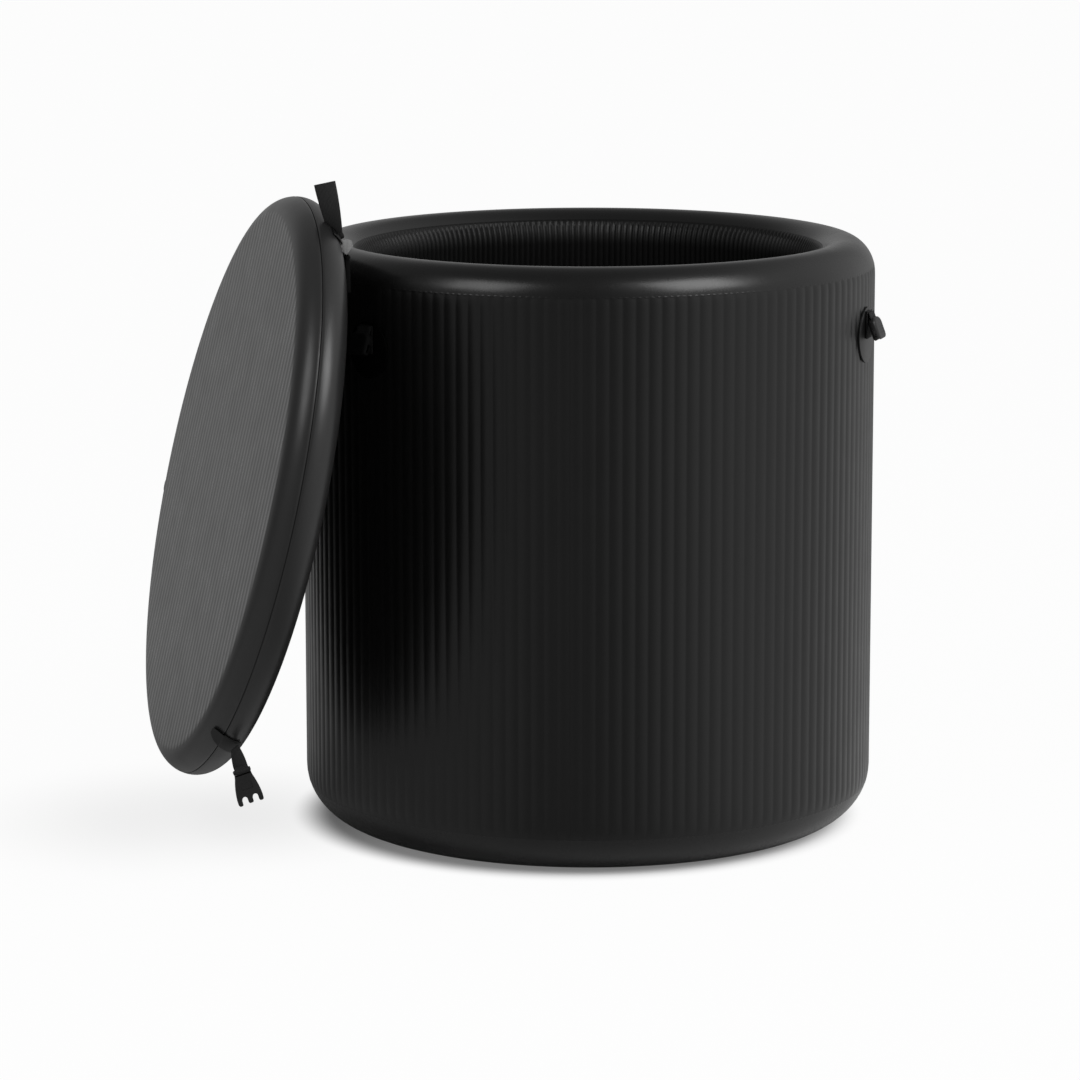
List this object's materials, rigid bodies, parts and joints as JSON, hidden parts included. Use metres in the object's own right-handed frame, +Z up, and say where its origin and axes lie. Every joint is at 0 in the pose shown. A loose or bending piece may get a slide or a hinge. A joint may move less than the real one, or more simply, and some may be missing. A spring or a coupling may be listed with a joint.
{
  "type": "cold plunge tub",
  "caption": "Round inflatable plunge tub with ribbed drop-stitch walls, a rounded rim and an inflated disc lid that leans on the rim and buckles down with webbing straps.",
  "frame": {"origin": "middle of the tub's underside, on the floor", "axes": "+Z up the tub's axis; -Y towards the viewer of the picture; the lid leans on the -X side"},
  "size_m": [0.9819, 0.9614, 0.8666],
  "materials": {
    "pvc_skin": "satin, ribbed where it is stretched over the core",
    "pvc_band": "satin, smooth",
    "lid_face": "satin, fine lines",
    "drop_stitch": "woven threads under pressure, hidden",
    "webbing": "woven",
    "buckle_plastic": "moulded, satin",
    "seal_rubber": "matte",
    "spring_steel": "bright wire"
  },
  "bodies": {
    "tub": {"outer_skin": "pvc_skin", "inner_skin": "pvc_skin", "drop_stitch_core": "drop_stitch", "rim_band": "pvc_band", "rim_welt": "pvc_band", "base_welt": "pvc_band", "base_band": "pvc_band", "base_sheet": "pvc_skin", "floor_panel": "pvc_skin", "wall_valve_body": "buckle_plastic", "drain_fitting": "buckle_plastic", "drain_gasket": "seal_rubber", "drain_nut": "buckle_plastic", "wall_valve_spring": "spring_steel", "anchor_patch_1": "pvc_skin", "anchor_patch_2": "pvc_skin", "anchor_patch_3": "pvc_skin", "socket_tab_1": "webbing", "socket_tab_2": "webbing", "socket_tab_3": "webbing"},
    "lid": {"lid_outward_face": "lid_face", "lid_tub_side_face": "lid_face", "lid_core": "drop_stitch", "lid_edge_front": "pvc_band", "lid_edge_back": "pvc_band", "lid_seam_tape": "pvc_skin", "lid_valve_body": "buckle_plastic", "lid_valve_spring": "spring_steel", "strap_band_1": "pvc_band", "strap_band_2": "pvc_band", "strap_band_3": "pvc_band", "strap_tail": "webbing"},
    "strap_1": {"strap_webbing_1": "webbing", "buckle_plug_1": "buckle_plastic"},
    "socket_1": {"socket_webbing_1": "webbing", "buckle_socket_1": "buckle_plastic"},
    "strap_2": {"strap_webbing_2": "webbing", "buckle_plug_2": "buckle_plastic"},
    "socket_2": {"socket_webbing_2": "webbing", "buckle_socket_2": "buckle_plastic"},
    "strap_3": {"strap_webbing_3": "webbing", "buckle_plug_3": "buckle_plastic"},
    "socket_3": {"socket_webbing_3": "webbing", "buckle_socket_3": "buckle_plastic"},
    "wall_valve_plunger": {"wall_valve_plunger": "seal_rubber"},
    "wall_valve_cap": {"wall_valve_cap": "buckle_plastic"},
    "lid_valve_plunger": {"lid_valve_plunger": "seal_rubber"},
    "lid_valve_cap": {"lid_valve_cap": "buckle_plastic"},
    "drain_cap": {"drain_cap": "buckle_plastic"}
  },
  "joints": [
    {"name": "lid_hinge", "type": "hinge", "parent": "tub", "child": "lid", "pos_m": [-0.34698, -0.12933, 0.82418], "axis": [-0.352, 0.9332, -0.0722], "range_deg": [0, 256.1]},
    {"name": "strap_1_swing", "type": "hinge", "parent": "lid", "child": "strap_1", "pos_m": [-0.29823, -0.27662, 0.79412], "axis": [0.2656, -0.9641, 0], "range_deg": [0, 20]},
    {"name": "strap_2_swing", "type": "hinge", "parent": "lid", "child": "strap_2", "pos_m": [-0.43348, -0.44755, 0.18845], "axis": [-0.9267, -0.2553, -0.2756], "range_deg": [-30, 30]},
    {"name": "strap_3_swing", "type": "hinge", "parent": "lid", "child": "strap_3", "pos_m": [-0.49748, 0.14203, 0.39714], "axis": [-0.9641, -0.2656, 0], "range_deg": [-30, 30]},
    {"name": "socket_1_swing", "type": "hinge", "parent": "tub", "child": "socket_1", "pos_m": [0.3656, -0.1083, 0.685], "axis": [-0.284, -0.9588, 0], "range_deg": [0, 60]},
    {"name": "socket_2_swing", "type": "hinge", "parent": "tub", "child": "socket_2", "pos_m": [-0.08901, 0.37077, 0.685], "axis": [0.9724, 0.2334, 0], "range_deg": [0, 60]},
    {"name": "socket_3_swing", "type": "hinge", "parent": "tub", "child": "socket_3", "pos_m": [-0.27659, -0.26247, 0.685], "axis": [-0.6884, 0.7254, 0], "range_deg": [0, 60]},
    {"name": "wall_valve_press", "type": "slide", "parent": "tub", "child": "wall_valve_plunger", "axis": [-0.5, -0.866, 0], "range_m": [0, 0.006], "stiffness_N_per_m": 500, "springref_m": -0.004, "deforming": ["wall_valve_spring"]},
    {"name": "wall_valve_cap_flip", "type": "hinge", "parent": "tub", "child": "wall_valve_cap", "pos_m": [0.1892, 0.3277, 0.6656], "axis": [0.866, -0.5, 0], "range_deg": [0, 100]},
    {"name": "lid_valve_press", "type": "slide", "parent": "lid", "child": "lid_valve_plunger", "axis": [-0.9375, -0.2582, 0.2334], "range_m": [0, 0.006], "stiffness_N_per_m": 500, "springref_m": -0.004, "deforming": ["lid_valve_spring"]},
    {"name": "lid_valve_cap_flip", "type": "hinge", "parent": "lid", "child": "lid_valve_cap", "pos_m": [-0.48493, -0.08575, 0.24893], "axis": [0.2656, -0.9641, 0], "range_deg": [0, 100]},
    {"name": "drain_cap_turn", "type": "hinge", "parent": "tub", "child": "drain_cap", "pos_m": [0, 0.375, 0.0984], "axis": [0, 1, 0], "range_deg": [0, 360]}
  ]
}
